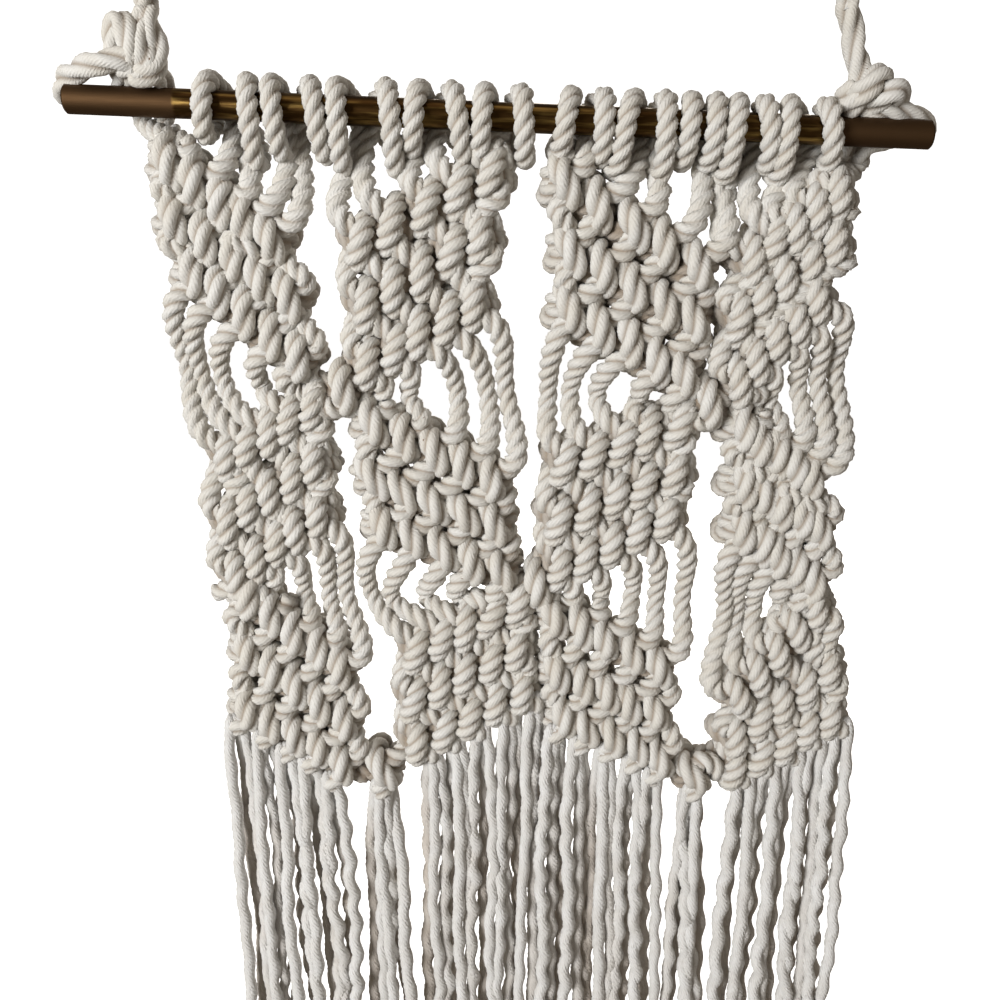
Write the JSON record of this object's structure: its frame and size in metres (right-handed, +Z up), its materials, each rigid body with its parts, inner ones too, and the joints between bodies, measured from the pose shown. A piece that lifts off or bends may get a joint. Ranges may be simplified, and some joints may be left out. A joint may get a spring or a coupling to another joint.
{
  "type": "macrame wall hanging on a rod",
  "caption": "Cotton rope hanging on a slim metal rod: four knotted columns joined at their corners, open arches between, long fringe and a hanging rope.",
  "frame": {"origin": "underside of the hanging rope's bend, where a nail in the wall carries it", "axes": "+Z up, +X to the right seen from the front, -Y towards the viewer, the rod's axis in the plane Y = 0"},
  "size_m": [0.2434, 0.028, 0.5949],
  "materials": {
    "cotton": "matte undyed cotton rope",
    "brass": "polished middle, satin brown ends"
  },
  "bodies": {
    "root": {"rod": "brass", "hanger": "cotton", "hanger_knot_left": "cotton", "hanger_knot_right": "cotton", "macrame_net": "cotton", "fringe_a": "cotton", "fringe_b": "cotton", "fringe_c": "cotton", "fringe_d": "cotton"}
  },
  "joints": []
}
